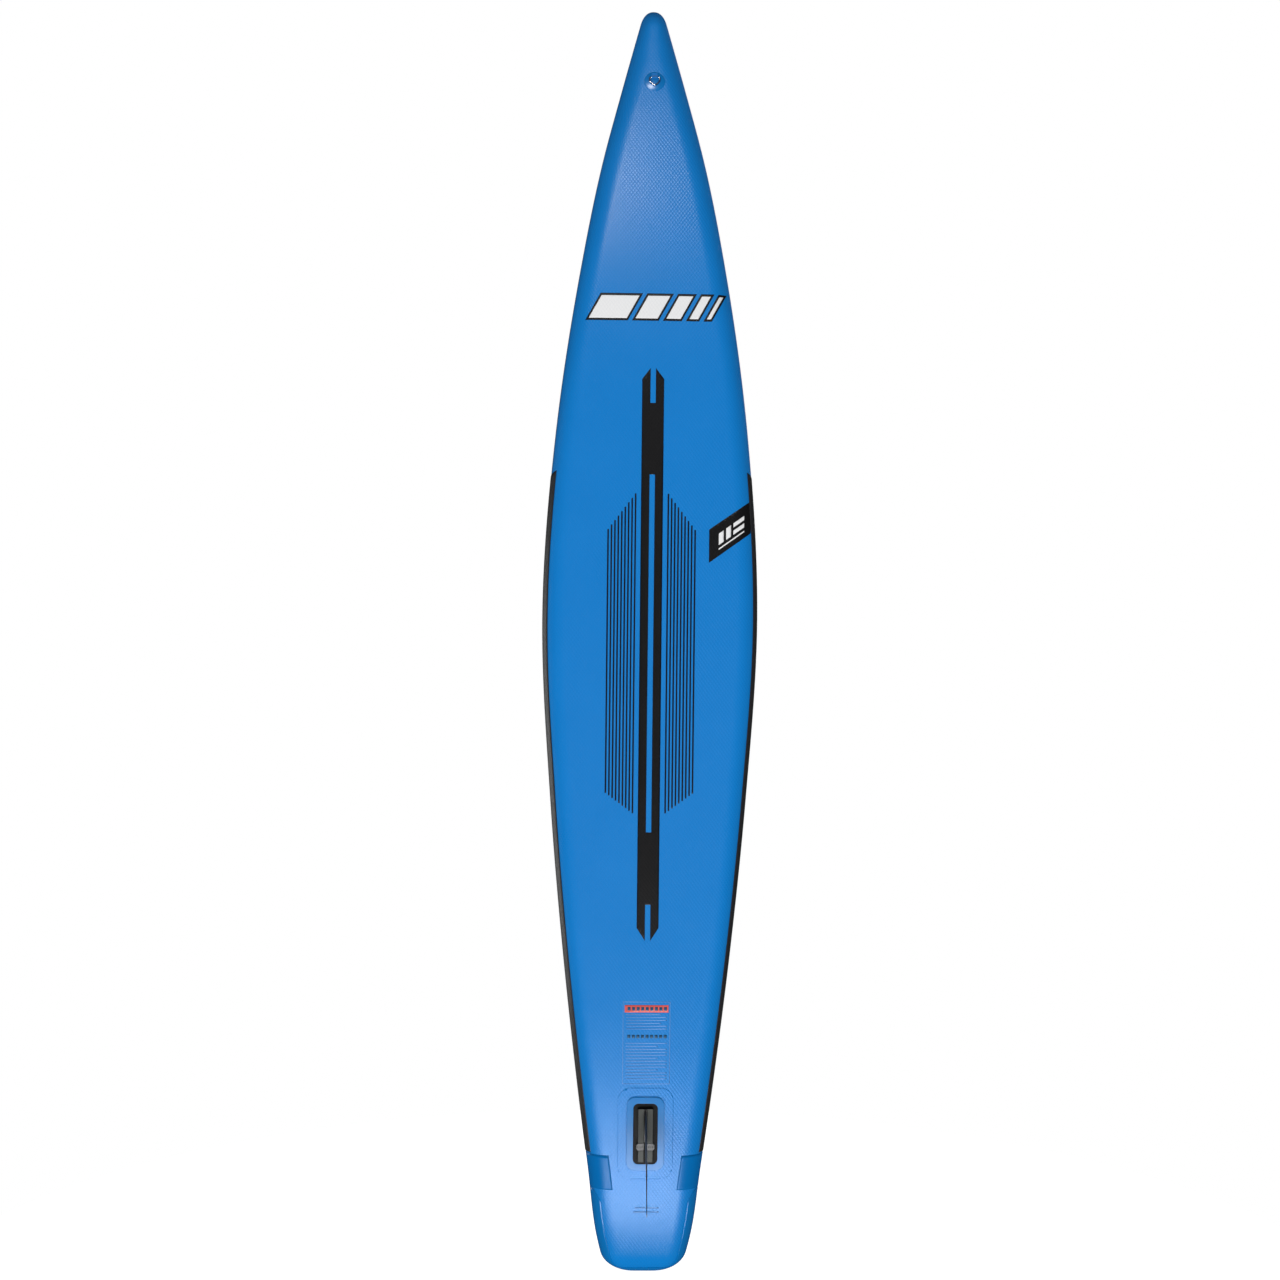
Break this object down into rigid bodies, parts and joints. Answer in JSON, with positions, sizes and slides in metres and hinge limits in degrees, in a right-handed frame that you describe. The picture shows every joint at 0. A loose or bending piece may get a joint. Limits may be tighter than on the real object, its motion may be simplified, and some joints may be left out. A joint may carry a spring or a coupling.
{
  "type": "inflatable stand up paddleboard",
  "caption": "Inflatable racing paddleboard standing nose up: a pointed blue hull with dark rails, a square tail, a raked slide-in fin, a padded deck, D-rings and an inflation valve.",
  "frame": {"origin": "on the outer face of the deck pad, on the centre line, where a vertical rack bears against the standing board", "axes": "+Z towards the nose, +Y out of the deck, the hull faces -Y, +X to the right of someone looking at the hull"},
  "size_m": [0.7172, 0.5612, 4.2684],
  "materials": {
    "blue_pvc": "satin PVC coating with a fine embossed diamond grain",
    "grey_pvc": "satin PVC coating",
    "black_pvc": "satin PVC coating",
    "woven_polyester": "woven sheet with drop threads",
    "eva_foam": "brushed closed-cell foam with grooves",
    "neoprene": "padded sleeve",
    "webbing": "woven strap",
    "shock_cord": "braided cover",
    "black_plastic": "moulded, satin",
    "stainless_steel": "polished wire",
    "valve_plastic": "moulded, matte",
    "rubber": "moulded, matte"
  },
  "bodies": {
    "board": {"bungee_cord_1": "shock_cord", "bungee_cord_2": "shock_cord", "bungee_loop_1": "webbing", "bungee_loop_2": "webbing", "bungee_loop_3": "webbing", "bungee_loop_4": "webbing", "bungee_patch_1": "black_pvc", "bungee_patch_2": "black_pvc", "bungee_patch_3": "black_pvc", "bungee_patch_4": "black_pvc", "deck_pad": "eva_foam", "deck_skin": "grey_pvc", "drop_stitch_core": "woven_polyester", "fin_base_patch": "blue_pvc", "fin_box": "black_plastic", "fin_box_cover": "blue_pvc", "handle_grip": "neoprene", "handle_patch_front": "black_pvc", "handle_patch_rear": "black_pvc", "handle_strap": "webbing", "hull_skin": "blue_pvc", "kick_bar": "eva_foam", "leash_patch": "black_pvc", "leash_webbing": "webbing", "rail_band_left": "black_pvc", "rail_band_right": "black_pvc", "side_wall_left": "black_pvc", "side_wall_right": "black_pvc", "tail_pad": "eva_foam", "tail_patch_left": "blue_pvc", "tail_patch_right": "blue_pvc", "tail_wrap": "blue_pvc", "tow_patch": "blue_pvc", "tow_webbing": "blue_pvc", "valve_body": "valve_plastic", "valve_nut": "valve_plastic", "valve_spring": "stainless_steel", "valve_tether": "rubber"},
    "fin": {"fin": "black_plastic"},
    "fin_tab_left": {"fin_tab_left": "black_plastic"},
    "fin_tab_right": {"fin_tab_right": "black_plastic"},
    "tow_ring": {"tow_ring": "stainless_steel"},
    "leash_ring": {"leash_ring": "stainless_steel"},
    "valve_plunger": {"valve_plunger": "valve_plastic", "valve_seal": "rubber"},
    "valve_cap": {"valve_cap": "valve_plastic", "valve_cap_seal": "rubber"}
  },
  "joints": [
    {"name": "fin_slide", "type": "slide", "parent": "board", "child": "fin", "axis": [0, 0.0363, -0.9993], "range_m": [0, 0.165]},
    {"name": "fin_tab_left_slide", "type": "slide", "parent": "board", "child": "fin_tab_left", "axis": [-1, 0, 0], "range_m": [0, 0.02]},
    {"name": "fin_tab_right_slide", "type": "slide", "parent": "board", "child": "fin_tab_right", "axis": [1, 0, 0], "range_m": [0, 0.02]},
    {"name": "tow_ring_swing", "type": "hinge", "parent": "board", "child": "tow_ring", "pos_m": [0, -0.00443, 2.454], "axis": [-1, 0, 0], "range_deg": [0, 170]},
    {"name": "leash_ring_swing", "type": "hinge", "parent": "board", "child": "leash_ring", "pos_m": [0, 0.02534, -1.4176], "axis": [1, 0, 0], "range_deg": [0, 170]},
    {"name": "valve_plunger_press", "type": "slide", "parent": "board", "child": "valve_plunger", "axis": [0, -0.9985, -0.0544], "range_m": [0, 0.006], "stiffness_N_per_m": 400, "springref_m": -0.004, "deforming": ["valve_spring"]},
    {"name": "valve_cap_turn", "type": "hinge", "parent": "board", "child": "valve_cap", "pos_m": [0, 0.01175, -1.27892], "axis": [0, 0.9985, 0.0544], "range_deg": [0, 90]}
  ]
}
